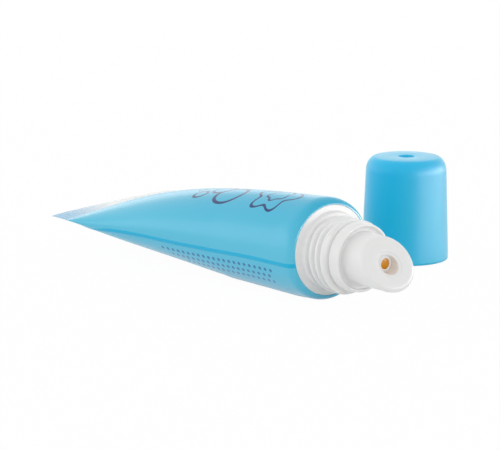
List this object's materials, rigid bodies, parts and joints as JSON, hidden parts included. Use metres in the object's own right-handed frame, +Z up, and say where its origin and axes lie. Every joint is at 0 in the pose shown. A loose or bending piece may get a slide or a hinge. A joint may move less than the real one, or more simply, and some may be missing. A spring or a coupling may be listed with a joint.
{
  "type": "nipple cream tube",
  "caption": "Laminated squeeze tube lying on its belly, with a crimped tail, a threaded neck, a slanted applicator tip and a screw cap standing beside it.",
  "frame": {"origin": "on the floor under the middle of the belly patch that the tube rests on", "axes": "+X along the tube axis out of the nozzle, +Z up, +Y towards the standing cap"},
  "size_m": [0.0894, 0.0597, 0.0205],
  "materials": {
    "sleeve": "satin laminated film, light blue",
    "head": "white moulded polyethylene, faintly glossy",
    "cream": "amber balm",
    "cap": "frosted blue translucent plastic"
  },
  "bodies": {
    "tube": {"sleeve": "sleeve", "head": "head", "cream": "cream"},
    "cap": {"cap": "cap"}
  },
  "joints": [
    {"name": "cap_lift", "type": "slide", "parent": "tube", "child": "cap", "axis": [0, 0, 1], "range_m": [0, 0.05]}
  ]
}
